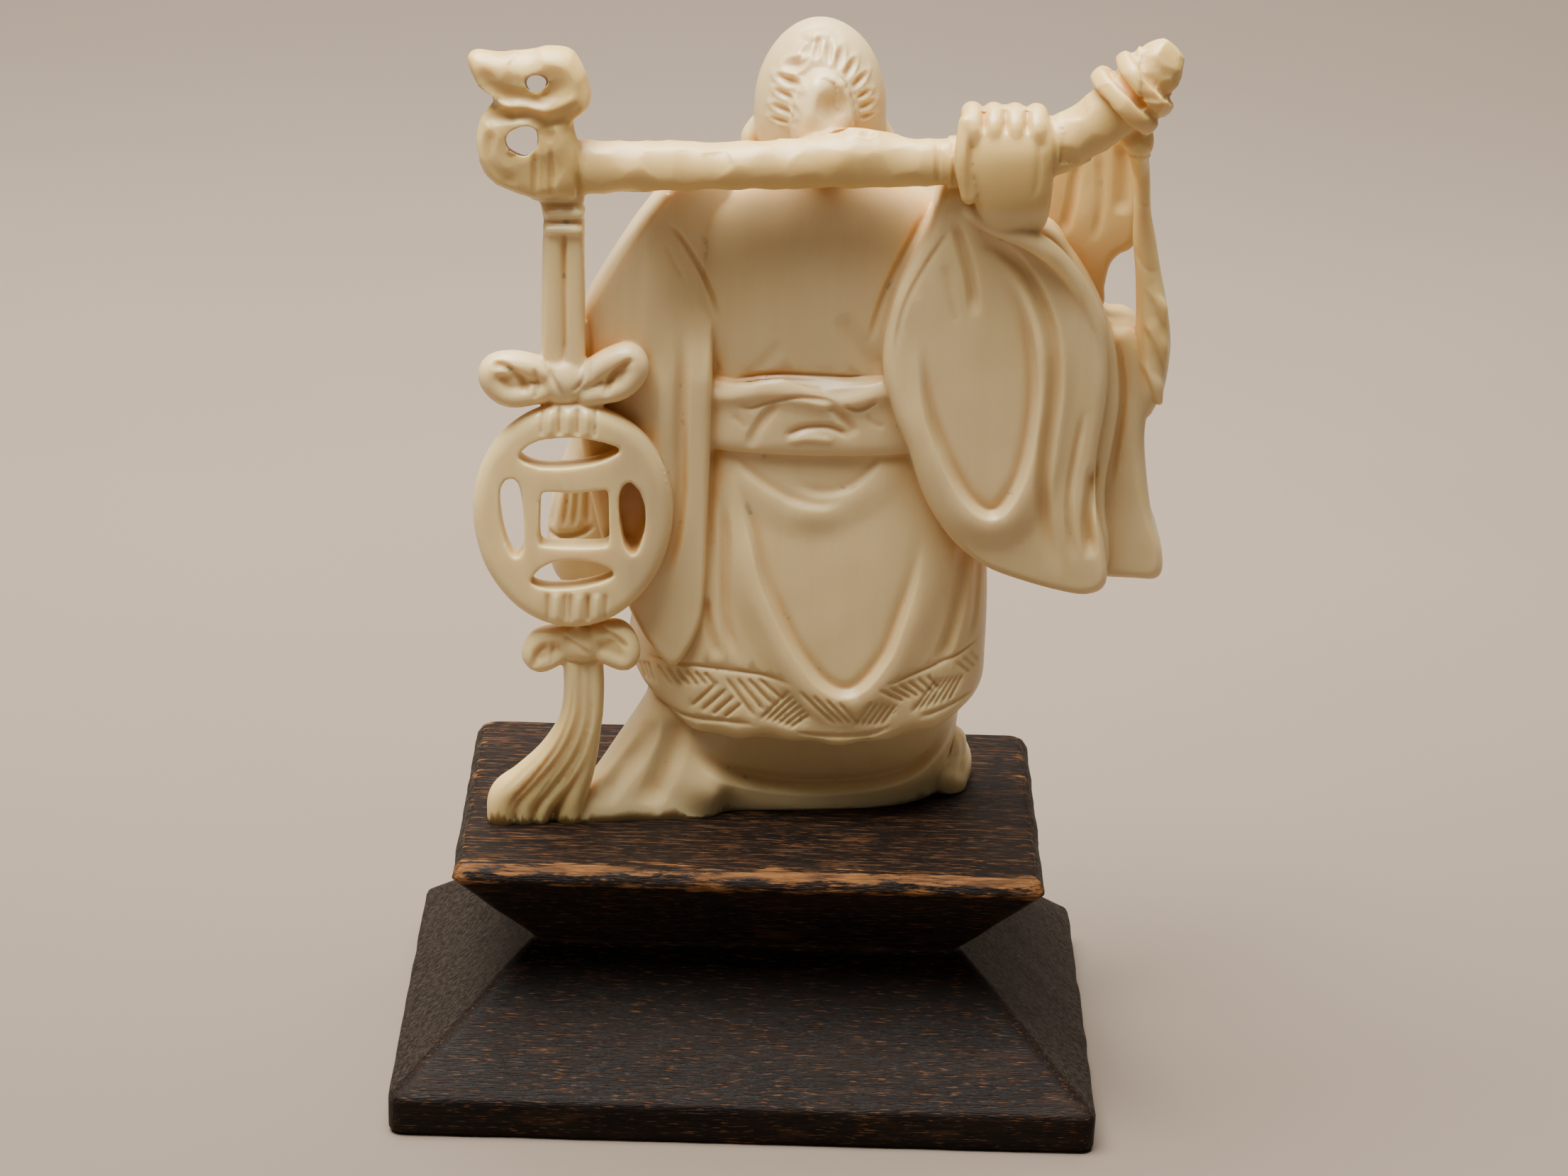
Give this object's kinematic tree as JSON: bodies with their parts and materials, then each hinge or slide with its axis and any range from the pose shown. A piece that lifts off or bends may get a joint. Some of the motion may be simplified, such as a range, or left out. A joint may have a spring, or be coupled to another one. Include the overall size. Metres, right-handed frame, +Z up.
{
  "type": "ivory figure",
  "caption": "Carved ivory figure of a tall-browed sage seen from behind, staff across the shoulders with a coin pendant, on a waisted dark wooden plinth.",
  "frame": {"origin": "centre of the plinth's flat underside", "axes": "+Z up, +Y the way the figure faces, +X to the right of someone who looks at its back"},
  "size_m": [0.0646, 0.044, 0.0934],
  "materials": {
    "ivory": "polished carved ivory, warm cream, with orange-brown patina in the crevices",
    "ebonised_wood": "black-stained hardwood, satin, worn to brown wood along its edges and pores"
  },
  "bodies": {
    "root": {"figure": "ivory", "plinth": "ebonised_wood"}
  },
  "joints": []
}
